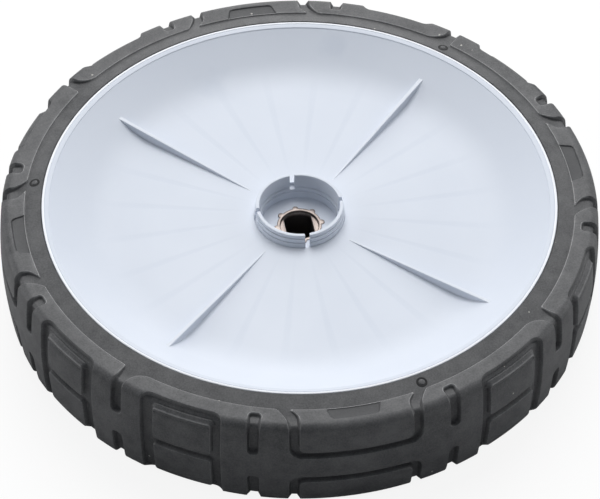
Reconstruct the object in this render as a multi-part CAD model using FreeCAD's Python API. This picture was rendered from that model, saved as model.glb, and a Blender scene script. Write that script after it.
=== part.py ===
import FreeCAD, Part
from FreeCAD import Vector
from math import cos, radians, sin, sqrt, tan
import os

# Drive wheel of a robotic lawn mower, lying flat with its outer face up.
# The origin is the middle of the wheel. +Z is the axis it turns on, out of the outer face.
# +X runs through one slot of the hub collar and the middle of one centre block of the tread.
# Lengths are in millimetres and angles in degrees.

# Rim: lip, tyre seat and dish
rim_diameter = 210.0
rim_width = 46.4
lip_height = 3.5
lip_face = 3.4
lip_step = 0.8
seat_drop = 3.0
barrel_wall = 3.0
web_wall = 3.0
dish_depth = 11.0
dish_wall_angle = 26.8
dish_blend = 7.0

# Fins on the dish
fin_count = 4
fin_gap_at_collar = 1.5
fin_drop_outside = 6.0
fin_thickness_inside = 0.8
fin_thickness_outside = 1.8

# Hub collar, slotted so that it gives when a cap is pressed in
collar_diameter = 35.8
collar_height = 6.6
collar_root_step = 0.65
socket_diameter = 32.8
socket_depth = 7.0
cup_step = 0.4
cup_depth = 12.4
cup_wall = 2.5
slot_count = 4
slot_width = 2.0
slot_depth = 7.6

# Hub insert, a metal bush moulded into the boss
insert_diameter = 18.4
insert_length = 25.0
insert_stand = 0.5
lug_count = 8
lug_diameter = 2.6
bore_diameter = 15.4
bore_flats = 11.3
counterbore_diameter = 15.8
counterbore_depth = 1.4
insert_chamfer = 0.4

# Back of the rim: boss, ring and ribs
boss_wall = 6.0
ring_diameter = 92.0
rib_thickness = 2.2
outer_rib_count = 24
inner_rib_count = 8
rib_depth = 11.0
rib_depth_at_boss = 17.0

# Tyre section: a sidewall band that falls away from the rim, then the shoulder of the blocks
sidewall_band = 6.6
band_fall = 1.6
shoulder_drop = 0.8
tread_reach = 10.9
crown = 1.3
shoulder_chamfer = 2.4

# Floor of the deep grooves, which runs out into the sidewall band
groove_depth = 3.5
groove_runout_reach = 4.0
groove_runout_drop = 3.0
groove_foot_drop = 6.2

# Centre blocks, on the X and Y axes, and the U-shaped groove around each half of them
centre_block_half_angle = 10.5
centre_groove = 3.85
ring_groove = 3.3
half_rib = 5.6
corner_outside = 5.0
corner_inside = 2.5

# Legs of the U-shaped groove over the shoulder, as half widths of the block and of the gap around it
leg_drop = 4.2
block_at_band = 24.3
block_neck_on_x = 20.0
block_neck_on_y = 21.3
gap_at_band = 29.2
gap_neck = 25.2
neck_reach = 4.0
neck_length = 3.0

# Pocket on the shoulder of each centre block
pocket_depth = 0.5
pocket_reach = 5.4
pocket_half_angle_inside = 5.45
pocket_half_angle_outside = 4.5

# Flank blocks, two between each pair of centre blocks, with a slot between them
joint_angle = 44.0
joint_width = 4.4
joint_half_rib = 7.0

# Slot in each flank block, counted from the centre block beside it
sipe_angle_on_x = 18.2
sipe_angle_on_y = 19.3
sipe_width = 4.0
sipe_start = 2.8
sipe_half_rib = 6.7

# Sunk panel of each flank block, and the two plates that stand in it
panel_angle_on_x = 30.45
panel_angle_on_y = 32.9
panel_half_angle_on_x = 7.5
panel_half_angle_on_y = 7.9
panel_start = 6.0
panel_depth = 2.2
plate_angle_on_x = 30.35
plate_angle_on_y = 32.5
plate_half_angle_on_x = 4.95
plate_half_angle_on_y = 5.6
plate_half_gap = 2.05
plate_margin = 5.5

# Radii and heights that follow from the sizes above
face = rim_width / 2
back = -rim_width / 2
rim_radius = rim_diameter / 2
seat_radius = rim_radius - seat_drop
barrel_inside = seat_radius - barrel_wall
dish_floor = face - dish_depth
dish_wall_top = face - lip_step
dish_wall_outside = rim_radius - lip_face
slope = tan(radians(dish_wall_angle))
collar_radius = collar_diameter / 2
collar_top = dish_floor + collar_height
socket_radius = socket_diameter / 2
cup_floor = collar_top - cup_depth
cup_radius = socket_radius - cup_step
hub_radius = cup_radius + cup_wall
hub_bottom = cup_floor - cup_wall
insert_radius = insert_diameter / 2
insert_top = cup_floor + insert_stand
boss_end = insert_top - insert_length
boss_radius = insert_radius + lug_diameter / 2 + boss_wall
ring_radius = ring_diameter / 2
band_radius = rim_radius + sidewall_band
cutter_start = rim_radius + sidewall_band / 2
tread_radius = band_radius + tread_reach
shoulder = face - shoulder_drop
everything = 2 * tread_radius
centre = Vector(0, 0, 0)
wheel_axis = Vector(0, 0, 1)


def on_section(radius, height):
    return Vector(radius, 0, height)


def on_plan(x, y):
    return Vector(x, y, 0)


def facing_x(y, z):
    return Vector(0, y, z)


def rounded_face(corners, place):
    """A flat face from corners (u, v, rounding), put in space by place(u, v)."""
    edges = []
    stops = []
    for i, (u, v, rounding) in enumerate(corners):
        here = Vector(u, v, 0)
        last = corners[i - 1]
        following = corners[(i + 1) % len(corners)]
        to_last = (Vector(last[0], last[1], 0) - here).normalize()
        to_next = (Vector(following[0], following[1], 0) - here).normalize()
        half = to_last.getAngle(to_next) / 2
        run = rounding / tan(half)
        inward = (to_last + to_next).normalize() * (rounding / sin(half) - rounding)
        stops.append((here + to_last * run, here + inward, here + to_next * run, rounding))
    for i, (start, middle, end, rounding) in enumerate(stops):
        before = stops[i - 1][2]
        edges.append(Part.LineSegment(place(before.x, before.y), place(start.x, start.y)).toShape())
        if rounding > 0:
            arc = Part.Arc(place(start.x, start.y), place(middle.x, middle.y), place(end.x, end.y))
            edges.append(arc.toShape())
    return Part.Face(Part.Wire(Part.__sortEdges__(edges)))


def turned(corners):
    """A body turned around the wheel's axis."""
    return rounded_face(corners, on_section).revolve(centre, wheel_axis, 360)


def upright_plate(corners, thickness):
    """A plate in the XZ plane with its thickness shared between both sides of it."""
    plate = rounded_face(corners, on_section).extrude(Vector(0, thickness, 0))
    return plate.translated(Vector(0, -thickness / 2, 0))


def radial_prism(corners, start_radius):
    """A prism that runs outward along +X from start_radius, through the tread."""
    prism = rounded_face(corners, facing_x).extrude(Vector(everything, 0, 0))
    return prism.translated(Vector(start_radius, 0, 0))


def around(shape, count, first_angle=0.0):
    """Copies of a shape, evenly spaced around the wheel's axis."""
    step = 360.0 / count
    return [shape.rotated(centre, wheel_axis, first_angle + k * step) for k in range(count)]


def both_halves(shapes):
    """Shapes on the outer half of the tread, and their mirror images on the inner half."""
    return shapes + [shape.mirror(centre, wheel_axis) for shape in shapes]


def both_ways(shapes):
    """Shapes on one side of the X axis, and their mirror images on its other side."""
    return shapes + [shape.mirror(centre, Vector(0, 1, 0)) for shape in shapes]


def dish_wall_radius(height):
    """Radius of the dish's sloping wall at a height."""
    return dish_wall_outside - (dish_wall_top - height) / slope


def rim_section():
    """Half section of the rim, from the lip inward over the dish and the cup, and back underneath."""
    foot = dish_wall_radius(dish_floor)
    under_floor = dish_floor - web_wall
    web_shift = web_wall / cos(radians(dish_wall_angle))
    under_foot = foot + (web_shift - web_wall) / slope
    under_at_barrel = under_floor + (barrel_inside - under_foot) * slope
    root_radius = collar_radius + collar_root_step
    collar_middle = (collar_top + dish_floor) / 2
    return [
        (seat_radius, face - lip_height, 0),
        (rim_radius, face - lip_height, 0),
        (rim_radius, face, 0),
        (dish_wall_outside, face, 0),
        (dish_wall_outside, dish_wall_top, 0),
        (foot + dish_blend, dish_floor + dish_blend * slope, 0),
        (foot - dish_blend, dish_floor, 0),
        (root_radius, dish_floor, 0),
        (root_radius, collar_middle, 0),
        (collar_radius, collar_middle, 0),
        (collar_radius, collar_top, 0),
        (socket_radius, collar_top, 0),
        (socket_radius, collar_top - socket_depth, 0),
        (cup_radius, collar_top - socket_depth, 0),
        (cup_radius, cup_floor, 0),
        (insert_radius / 2, cup_floor, 0),
        (insert_radius / 2, boss_end, 0),
        (boss_radius, boss_end, 0),
        (boss_radius, hub_bottom, 0),
        (hub_radius, hub_bottom, 0),
        (hub_radius, under_floor, 0),
        (under_foot, under_floor, 0),
        (barrel_inside, under_at_barrel, 0),
        (barrel_inside, back, 0),
        (rim_radius, back, 0),
        (rim_radius, back + lip_height, 0),
        (seat_radius, back + lip_height, 0),
    ]


def fin():
    """One fin: a straight top edge from the dish wall down to the floor near the collar."""
    inside = collar_radius + fin_gap_at_collar
    outside = dish_wall_radius(face - fin_drop_outside)
    root = dish_floor - web_wall / 2
    end = outside + web_wall / 2
    side = upright_plate([
        (inside, root, 0),
        (inside, dish_floor, 0),
        (outside, face - fin_drop_outside, 0),
        (end, face - fin_drop_outside, 0),
        (dish_wall_radius(root), root, 0),
    ], fin_thickness_outside)
    plan = rounded_face([
        (inside, -fin_thickness_inside / 2, 0),
        (inside, fin_thickness_inside / 2, 0),
        (end, fin_thickness_outside / 2, 0),
        (end, -fin_thickness_outside / 2, 0),
    ], on_plan).extrude(Vector(0, 0, face))
    return side.common(plan)


def outer_rib():
    """One of the ribs between the ring and the barrel, under the dish."""
    foot = dish_wall_radius(dish_floor)
    middle_of_web = dish_floor - web_wall / 2
    end = barrel_inside + barrel_wall / 2
    lowest = dish_floor - web_wall - rib_depth
    return upright_plate([
        (ring_radius, lowest, 0),
        (ring_radius, middle_of_web, 0),
        (foot, middle_of_web, 0),
        (end, middle_of_web + (end - foot) * slope, 0),
        (end, lowest, 0),
    ], rib_thickness)


def inner_rib():
    """One of the ribs between the boss and the ring, deeper at the boss and clear of the cup."""
    start = boss_radius - boss_wall / 2
    start_beside_cup = hub_radius - cup_wall / 2
    middle_of_cup_floor = cup_floor - cup_wall / 2
    under_floor = dish_floor - web_wall
    return upright_plate([
        (start, under_floor - rib_depth_at_boss, 0),
        (start, middle_of_cup_floor, 0),
        (start_beside_cup, middle_of_cup_floor, 0),
        (start_beside_cup, dish_floor - web_wall / 2, 0),
        (ring_radius, dish_floor - web_wall / 2, 0),
        (ring_radius, under_floor - rib_depth, 0),
    ], rib_thickness)


def rib_ring():
    """The ring rib that joins the inner and outer ribs."""
    lowest = dish_floor - web_wall - rib_depth
    return turned([
        (ring_radius - rib_thickness / 2, lowest, 0),
        (ring_radius + rib_thickness / 2, lowest, 0),
        (ring_radius + rib_thickness / 2, dish_floor - web_wall / 2, 0),
        (ring_radius - rib_thickness / 2, dish_floor - web_wall / 2, 0),
    ])


def insert_outside():
    """Bush with its lugs, the shape that the boss is moulded around."""
    base = Vector(0, 0, boss_end)
    body = Part.makeCylinder(insert_radius, insert_length, base)
    lug = Part.makeCylinder(lug_diameter / 2, insert_length, base + Vector(insert_radius, 0, 0))
    return body.fuse(around(lug, lug_count)).removeSplitter()


def collar_slot():
    """Cutter for one slot in the collar."""
    start = insert_radius + lug_diameter
    length = collar_radius + collar_root_step - start
    corner = Vector(start, -slot_width / 2, collar_top - slot_depth)
    return Part.makeBox(length, slot_width, slot_depth + collar_height, corner)


def make_rim():
    ribs = around(outer_rib(), outer_rib_count) + around(inner_rib(), inner_rib_count) + [rib_ring()]
    fins = around(fin(), fin_count, 180.0 / fin_count)
    body = turned(rim_section()).fuse(ribs + fins)
    return body.cut([insert_outside()] + around(collar_slot(), slot_count)).removeSplitter()


def make_hub_insert():
    drill = Part.makeCylinder(bore_diameter / 2, insert_length, Vector(0, 0, boss_end))
    corner = Vector(-bore_flats / 2, -bore_diameter / 2, boss_end)
    flats = Part.makeBox(bore_flats, bore_diameter, insert_length, corner)
    counterbore_floor = insert_top - counterbore_depth
    counterbore = turned([
        (0, counterbore_floor, 0),
        (counterbore_diameter / 2, counterbore_floor, 0),
        (counterbore_diameter / 2, insert_top - insert_chamfer, 0),
        (counterbore_diameter / 2 + insert_chamfer, insert_top, 0),
        (0, insert_top, 0),
    ])
    return insert_outside().cut([drill.common(flats), counterbore])


def tyre_section(corners, depth):
    """Tyre section through given outer corners, from the rim to the shoulder, mirrored to the inner half."""
    outer_half = [
        (seat_radius, face - lip_height, 0),
        (rim_radius, face - lip_height, 0),
    ] + corners
    inner_half = [(radius, -height, rounding) for radius, height, rounding in reversed(outer_half)]
    return outer_half + [(tread_radius - depth, 0, 0)] + inner_half


def whole_tyre():
    """The tyre before anything is cut into it."""
    flank = tread_radius - crown
    return turned(tyre_section([
        (rim_radius, face, 0),
        (band_radius, face - band_fall, 0),
        (band_radius, shoulder, 0),
        (flank - shoulder_chamfer, shoulder, 0),
        (flank, shoulder - shoulder_chamfer, 0),
    ], 0))


def core(corners, depth):
    """What a cut leaves standing: everything over the sidewall band, and the tread below the cut's floor."""
    guard = [(rim_radius, rim_width, 0), (band_radius, rim_width, 0)]
    return turned(tyre_section(guard + corners, depth))


def core_at_depth(depth):
    """What a cut of an even depth leaves standing."""
    return core([
        (band_radius, shoulder - depth, 0),
        (tread_radius - crown - depth, shoulder - depth, 0),
    ], depth)


def core_of_grooves():
    """What the deep grooves leave standing; their floor meets the sidewall band without a step."""
    return core([
        (band_radius, face - band_fall, 0),
        (band_radius + groove_runout_reach, face - groove_runout_drop, 0),
        (tread_radius - crown - groove_depth, face - groove_foot_drop, 0),
    ], groove_depth)


def plan_point(radius, half_width):
    """A corner of a plan outline, given by its radius and its distance from the X axis."""
    return (sqrt(radius ** 2 - half_width ** 2), half_width, 0)


def groove_leg(block_neck):
    """One leg of the U-shaped groove over the shoulder: wide at the band, drawn in at its neck."""
    block = tread_radius * sin(radians(centre_block_half_angle))
    gap = block + centre_groove
    neck = band_radius + neck_reach
    neck_end = neck + neck_length
    flank = tread_radius - crown
    plan = rounded_face([
        plan_point(cutter_start, block_at_band),
        plan_point(band_radius, block_at_band),
        plan_point(neck, block_neck),
        plan_point(neck_end, block_neck),
        plan_point(flank, block),
        plan_point(everything, block),
        plan_point(everything, gap),
        plan_point(flank, gap),
        plan_point(neck_end, gap_neck),
        plan_point(neck, gap_neck),
        plan_point(band_radius, gap_at_band),
        plan_point(cutter_start, gap_at_band),
    ], on_plan)
    return plan.extrude(Vector(0, 0, rim_width)).translated(Vector(0, 0, face - leg_drop))


def centre_groove_cutters(block_neck):
    """The U-shaped groove that bounds a centre block on the outer half of the tread."""
    block = tread_radius * sin(radians(centre_block_half_angle))
    gap = block + centre_groove
    inside = half_rib + ring_groove
    end = face - leg_drop
    on_tread = radial_prism([
        (-gap, end, 0),
        (-gap, half_rib, corner_outside),
        (gap, half_rib, corner_outside),
        (gap, end, 0),
        (block, end, 0),
        (block, inside, corner_inside),
        (-block, inside, corner_inside),
        (-block, end, 0),
    ], cutter_start)
    return [on_tread] + both_ways([groove_leg(block_neck)])


def lateral_slot(width, half_rib_there, start_radius, angle):
    """A lateral slot from the central rib outward over the shoulder."""
    slot = radial_prism([
        (-width / 2, rim_width, 0),
        (-width / 2, half_rib_there, 0),
        (width / 2, half_rib_there, 0),
        (width / 2, rim_width, 0),
    ], start_radius)
    return slot.rotated(centre, wheel_axis, angle)


def panel_cutter(panel_core, angle, half_angle, plate_angle, plate_half_angle):
    """The sunk panel of one flank block, with its two plates left standing flush with the tread."""
    start = band_radius + panel_start
    width = 2 * tread_radius * sin(radians(half_angle))
    plate_width = 2 * tread_radius * sin(radians(plate_half_angle))
    plate_length = shoulder - plate_margin - plate_half_gap
    opening = Part.makeBox(everything, width, 2 * rim_width, Vector(start, -width / 2, -rim_width))
    plate = Part.makeBox(everything, plate_width, plate_length, Vector(0, -plate_width / 2, plate_half_gap))
    plates = [piece.rotated(centre, wheel_axis, plate_angle) for piece in both_halves([plate])]
    return opening.rotated(centre, wheel_axis, angle).cut([panel_core] + plates)


def pocket_cutter():
    """The shallow pocket on the shoulder of a centre block."""
    outside = band_radius + pocket_reach
    half_inside = band_radius * sin(radians(pocket_half_angle_inside))
    half_outside = outside * sin(radians(pocket_half_angle_outside))
    plan = rounded_face([
        (cutter_start, -half_inside, 0),
        (cutter_start, half_inside, 0),
        (band_radius, half_inside, 0),
        (outside, half_outside, 0),
        (outside, -half_outside, 0),
        (band_radius, -half_inside, 0),
    ], on_plan)
    return plan.extrude(Vector(0, 0, rim_width))


def make_tyre():
    """The tyre is turned whole, and each kind of cut stops at a core of its own depth."""
    groove_core = core_of_grooves()
    panel_core = core_at_depth(panel_depth)
    pocket = pocket_cutter().cut(core_at_depth(pocket_depth))
    joint = lateral_slot(joint_width, joint_half_rib, cutter_start, joint_angle)
    sipe_radius = band_radius + sipe_start
    sipe_on_x = lateral_slot(sipe_width, sipe_half_rib, sipe_radius, sipe_angle_on_x)
    sipe_on_y = lateral_slot(sipe_width, sipe_half_rib, sipe_radius, sipe_angle_on_y)
    grooves_on_x = centre_groove_cutters(block_neck_on_x) + both_ways([sipe_on_x, joint])
    grooves_on_y = centre_groove_cutters(block_neck_on_y) + both_ways([sipe_on_y])
    panel_on_x = panel_cutter(
        panel_core, panel_angle_on_x, panel_half_angle_on_x, plate_angle_on_x, plate_half_angle_on_x)
    panel_on_y = panel_cutter(
        panel_core, panel_angle_on_y, panel_half_angle_on_y, plate_angle_on_y, plate_half_angle_on_y)
    cutters = []
    for grooves, panel, first_angle in ((grooves_on_x, panel_on_x, 0), (grooves_on_y, panel_on_y, 90)):
        sunk = both_halves([groove.cut(groove_core) for groove in grooves] + [pocket])
        for cutter in sunk + both_ways([panel]):
            cutters += around(cutter, 2, first_angle)
    return whole_tyre().cut(cutters)


os.makedirs("parts", exist_ok=True)
pieces = {"rim": make_rim(), "tyre": make_tyre(), "hub_insert": make_hub_insert()}
for name, shape in pieces.items():
    shape.exportStep("parts/" + name + ".step")
    box = shape.BoundBox
    print(name, "solids", len(shape.Solids), "faces", len(shape.Faces), "valid", shape.isValid())
    print("  volume %.0f mm3, box %.2f x %.2f x %.2f" % (shape.Volume, box.XLength, box.YLength, box.ZLength))
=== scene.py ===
import math

import bmesh
import bpy
import numpy as np
from mathutils import Matrix, Vector
from mathutils.geometry import delaunay_2d_cdt


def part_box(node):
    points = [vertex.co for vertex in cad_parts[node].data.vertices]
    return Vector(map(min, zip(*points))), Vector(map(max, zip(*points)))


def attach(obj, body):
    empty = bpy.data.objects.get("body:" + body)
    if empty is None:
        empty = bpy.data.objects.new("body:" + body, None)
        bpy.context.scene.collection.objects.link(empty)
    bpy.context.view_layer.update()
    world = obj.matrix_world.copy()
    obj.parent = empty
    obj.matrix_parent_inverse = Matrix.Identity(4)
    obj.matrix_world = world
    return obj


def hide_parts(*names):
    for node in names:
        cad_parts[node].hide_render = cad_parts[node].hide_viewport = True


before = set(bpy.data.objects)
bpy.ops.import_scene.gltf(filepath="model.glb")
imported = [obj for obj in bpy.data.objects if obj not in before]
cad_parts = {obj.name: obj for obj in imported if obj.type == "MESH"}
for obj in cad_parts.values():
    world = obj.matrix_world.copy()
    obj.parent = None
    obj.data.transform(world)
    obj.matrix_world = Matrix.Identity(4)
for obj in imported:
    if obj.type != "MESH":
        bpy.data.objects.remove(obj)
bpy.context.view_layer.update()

# The wheel lies flat around +Z. Shapes are worked out in millimetres and stored in metres.
mm = 0.001
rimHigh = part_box("rim")[1]
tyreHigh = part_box("tyre")[1]
insertLow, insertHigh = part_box("hub_insert")
wheelRadius = tyreHigh.x / mm
rimRadius = 105.0
faceHeight = rimHigh.z / mm
insertTop = insertHigh.z / mm
insertEnd = insertLow.z / mm
print("frame loaded: wheel radius %.1f mm, half width %.1f mm" % (wheelRadius, faceHeight))

# Rim and collar sizes, used by the plastic's material as well
rim = {
    "lipHeight": 3.5, "lipFace": 3.4, "lipStep": 0.8, "lipGap": 0.32, "lipFall": 0.48, "lipLean": 0.05,
    # the bead along the lip, and how far in and down the groove beside it has its foot and its far side
    "bead": 1.3, "grooveFoot": (0.16, 0.24), "grooveSide": (0.34, 0.12),
    "seatDrop": 3.0, "barrelWall": 3.0, "webWall": 3.0, "underShift": 0.75,
    "dishDepth": 11.0, "dishSlope": 26.8, "dishBlend": 34.0, "dishCrown": 0.4,
    "bossRadius": 16.5, "hubRadius": 18.5, "bushSeat": 8.6, "cupWall": 2.5, "segments": 360,
}
collar = {
    "radius": 17.9, "middleRadius": 18.22, "rootRadius": 18.55, "height": 6.6, "edge": 0.25,
    "footWidth": 1.2, "footRise": 0.15, "rootSink": 0.3,
    # the fine lines round it, measured down from its top, and the slopes beside them
    "firstLine": 1.75, "secondLine": 3.85, "cupLine": 8.6,
    "lineDepth": 0.3, "lineWidth": 0.25, "lineLip": 0.1, "lineRise": 0.2, "lineFoot": 0.15,
    # how far the slices at a slot are drawn in, from which height on, and how near the second is to the first
    "slotWidth": 2.0, "slotDepth": 7.6, "slotRound": (0.24, 0.072), "slotTop": 1.0, "slotLead": 0.027,
    "socketRadius": 16.4, "socketDepth": 7.0, "ledgeFall": 0.3,
    "cupRadius": 16.0, "cupStep": 0.1, "cupDepth": 12.4, "slices": 48,
}
dishFloor = faceHeight - rim["dishDepth"]
collarTop = dishFloor + collar["height"]
cupFloor = collarTop - collar["cupDepth"]
slotFloor = collarTop - collar["slotDepth"]
hubBottom = cupFloor - rim["cupWall"]
dishTan = math.tan(math.radians(rim["dishSlope"]))
wallTop = faceHeight - rim["lipStep"]
wallRadius = rimRadius - rim["lipFace"]
dishFoot = wallRadius - (wallTop - dishFloor) / dishTan
barrelInside = rimRadius - rim["seatDrop"] - rim["barrelWall"]
underFloor = dishFloor - rim["webWall"]


def dishHeight(radius):
    # height of the dish's surface, with its blend between floor and wall
    half = math.radians(180 - rim["dishSlope"]) / 2
    run = rim["dishBlend"] / math.tan(half)
    if radius <= dishFoot - run:
        return dishFloor
    if radius >= dishFoot + run * math.cos(math.radians(rim["dishSlope"])):
        return dishFloor + (radius - dishFoot) * dishTan
    across = radius - (dishFoot - run)
    return dishFloor + rim["dishBlend"] - math.sqrt(rim["dishBlend"] ** 2 - across ** 2)


def linkObject(name, data):
    made = bpy.data.objects.new(name, data)
    bpy.context.scene.collection.objects.link(made)
    return made


def placeMesh(mesh, material):
    # a mesh in metres becomes a piece that rides the wheel
    mesh.materials.append(material)
    mesh.shade_smooth()
    piece = linkObject(mesh.name, mesh)
    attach(piece, "root")
    return piece


def newPiece(name, points, faces, material):
    # a piece from points in millimetres
    mesh = bpy.data.meshes.new(name)
    corners = [tuple(int(i) for i in face) for face in faces]
    mesh.from_pydata([tuple(float(c) * mm for c in point) for point in points], [], corners)
    mesh.update()
    return placeMesh(mesh, material)


def tidyNormals(piece):
    bm = bmesh.new()
    bm.from_mesh(piece.data)
    bmesh.ops.recalc_face_normals(bm, faces=bm.faces)
    bm.to_mesh(piece.data)
    bm.free()


def paintEdgeHighlight(piece, share, isBright):
    # painted highlight: marks the points of rounded top edges, which the plastic shows a little lighter where
    # they would catch the light
    mask = piece.data.attributes.new("paintedHighlight", "FLOAT", "POINT")
    values = [share if isBright(v.index, v.co / mm) else 0.0 for v in piece.data.vertices]
    mask.data.foreach_set("value", values)


def sharpenEdges(piece, angle):
    for edge in piece.data.edges:
        edge.use_edge_sharp = False
    piece.data.set_sharp_from_angle(angle=math.radians(angle))


def roundedLine(corners, closed, arcStep=12.0):
    # corners are (u, v, rounding); each rounding becomes a short arc
    line = []
    count = len(corners)
    for i, (u, v, rounding) in enumerate(corners):
        here = np.array([u, v], float)
        ends = not closed and i in (0, count - 1)
        if rounding <= 0 or ends:
            line.append(here)
            continue
        before = np.array(corners[i - 1][:2], float) - here
        after = np.array(corners[(i + 1) % count][:2], float) - here
        before /= np.linalg.norm(before)
        after /= np.linalg.norm(after)
        half = math.acos(max(-1.0, min(1.0, float(before @ after)))) / 2
        run = rounding / math.tan(half)
        middle = here + (before + after) / np.linalg.norm(before + after) * (rounding / math.sin(half))
        start = here + before * run - middle
        end = here + after * run - middle
        turn = math.atan2(start[0] * end[1] - start[1] * end[0], float(start @ end))
        steps = max(2, int(abs(math.degrees(turn)) / arcStep) + 1)
        for k in range(steps + 1):
            c, s = math.cos(turn * k / steps), math.sin(turn * k / steps)
            line.append(middle + np.array([c * start[0] - s * start[1], s * start[0] + c * start[1]]))
    return line


def ringFaces(offset, rings, count, closed=False):
    # the quads between rings of points that follow each other, the last joined to the first if closed
    faces = []
    for i in range(rings if closed else rings - 1):
        here, there = offset + i * count, offset + (i + 1) % rings * count
        for k in range(count):
            n = (k + 1) % count
            faces.append((here + k, here + n, there + n, there + k))
    return faces


def endFaces(offset, rings, count):
    # the faces that close the first and the last ring
    last = offset + (rings - 1) * count
    return [tuple(offset + i for i in reversed(range(count))), tuple(last + i for i in range(count))]


def turnedMesh(rings, segments):
    # rings are (radius, height); a radius may be one number or one for each angle
    angles = np.arange(segments) * 2 * math.pi / segments
    points = []
    for radius, height in rings:
        radii = np.broadcast_to(radius, angles.shape)
        points += list(zip(radii * np.cos(angles), radii * np.sin(angles), np.full(segments, float(height))))
    return points, ringFaces(0, len(rings), segments, closed=True)


# Shader helpers and the shared groups
def addNode(tree, kind, values=None, **settings):
    node = tree.nodes.new(kind)
    for key, value in settings.items():
        setattr(node, key, value)
    for key, value in (values or {}).items():
        if isinstance(value, bpy.types.NodeSocket):
            tree.links.new(value, node.inputs[key])
        else:
            node.inputs[key].default_value = value
    return node


def mixColours(tree, share, first, second):
    # The Mix node's colour sockets share names with its other kinds, so they are set by place
    node = addNode(tree, "ShaderNodeMix", {0: share, 6: first, 7: second}, data_type="RGBA")
    return node.outputs[2]


def mapped(tree, value, low, high, fromLow=0.3, fromHigh=0.7, kind="LINEAR"):
    # the usual range is the one that noise fills
    values = {"Value": value, "From Min": fromLow, "From Max": fromHigh, "To Min": low, "To Max": high}
    return addNode(tree, "ShaderNodeMapRange", values, interpolation_type=kind).outputs[0]


def joined(tree, operation, first, second):
    return addNode(tree, "ShaderNodeMath", {0: first, 1: second}, operation=operation).outputs[0]


def lengthOf(tree, vector):
    return addNode(tree, "ShaderNodeVectorMath", {0: vector}, operation="LENGTH").outputs["Value"]


def objectPlace(tree):
    return addNode(tree, "ShaderNodeTexCoord").outputs["Object"]


def noiseAt(tree, place, scale, **values):
    return addNode(tree, "ShaderNodeTexNoise", {"Vector": place, "Scale": scale, **values}).outputs["Fac"]


def addBump(tree, shader, height, strength, distance):
    values = {"Height": height, "Strength": strength, "Distance": distance * mm}
    tree.links.new(addNode(tree, "ShaderNodeBump", values).outputs[0], shader.inputs["Normal"])


def newGroup(name, inputs, outputs):
    # the sockets are given as label and kind
    group = bpy.data.node_groups.new(name, "ShaderNodeTree")
    for way, sockets in (("INPUT", inputs), ("OUTPUT", outputs)):
        for label, kind in sockets.items():
            group.interface.new_socket(label, in_out=way, socket_type=kind)
    return group, group.nodes.new("NodeGroupInput").outputs, group.nodes.new("NodeGroupOutput").inputs


def makeGrainGroup():
    # Fine moulded grain: two noises added into one height, and a slow cloud for colour
    inputs = dict.fromkeys(("Fine Scale", "Coarse Scale", "Coarse Share"), "NodeSocketFloat")
    outputs = dict.fromkeys(("Height", "Cloud"), "NodeSocketFloat")
    group, given, out = newGroup("mouldedGrain", inputs, outputs)
    place = objectPlace(group)
    fine = noiseAt(group, place, given["Fine Scale"], Detail=3.0, Roughness=0.6)
    coarse = noiseAt(group, place, given["Coarse Scale"], Detail=4.0, Roughness=0.55)
    height = joined(group, "ADD", fine, joined(group, "MULTIPLY", coarse, given["Coarse Share"]))
    group.links.new(height, out["Height"])
    group.links.new(noiseAt(group, place, 28.0, Detail=5.0, Roughness=0.6), out["Cloud"])
    return group


def makeSpeckGroup():
    # Scattered light specks of dust: the centres of a few cells of a Voronoi pattern
    inputs = dict.fromkeys(("Scale", "Size", "Share"), "NodeSocketFloat")
    group, given, out = newGroup("dustSpecks", inputs, {"Mask": "NodeSocketFloat"})
    cells = addNode(group, "ShaderNodeTexVoronoi", {"Vector": objectPlace(group), "Scale": given["Scale"]})
    near = joined(group, "LESS_THAN", cells.outputs["Distance"], given["Size"])
    chance = addNode(group, "ShaderNodeSeparateColor", {"Color": cells.outputs["Color"]})
    chosen = joined(group, "LESS_THAN", chance.outputs["Red"], given["Share"])
    group.links.new(joined(group, "MULTIPLY", near, chosen), out["Mask"])
    return group


def makeSpotGroup():
    # A soft blot round one place, broken up by noise
    inputs = {"Centre": "NodeSocketVector", "Radius": "NodeSocketFloat"}
    group, given, out = newGroup("softBlot", inputs, {"Mask": "NodeSocketFloat"})
    place = objectPlace(group)
    away = addNode(group, "ShaderNodeVectorMath", {0: place, 1: given["Centre"]}, operation="DISTANCE")
    reach = joined(group, "MULTIPLY", noiseAt(group, place, 90.0, Detail=2.0), given["Radius"])
    share = joined(group, "DIVIDE", away.outputs["Value"], reach)
    group.links.new(mapped(group, share, 1.0, 0.0, 0.6, 2.0, "SMOOTHSTEP"), out["Mask"])
    return group


def placeGroup(tree, group, values):
    return addNode(tree, "ShaderNodeGroup", values, node_tree=group).outputs


def newMaterial(name):
    material = bpy.data.materials.new(name)
    material.use_nodes = True
    tree = material.node_tree
    return material, tree, tree.nodes["Principled BSDF"]


mouldedGrain = makeGrainGroup()
dustSpecks = makeSpeckGroup()
softBlot = makeSpotGroup()

rubberLook = {
    "dark": (0.050, 0.051, 0.054, 1),
    "light": (0.124, 0.124, 0.127, 1),
    # the colour of the painted shade on the pockets' floors
    "pocket": (0.045, 0.046, 0.049, 1),
    # the colour of the painted highlight along rounded edges
    "edge": (0.50, 0.50, 0.505, 1),
    "speck": (0.42, 0.41, 0.38, 1),
    "roughness": (0.50, 0.62),
    "shine": 0.38,
    "bump": 0.12,
    "grain": {"Fine Scale": 1500.0, "Coarse Scale": 160.0, "Coarse Share": 0.8},
    "specks": {"Scale": 260.0, "Size": 0.11, "Share": 0.035},
}


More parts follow.
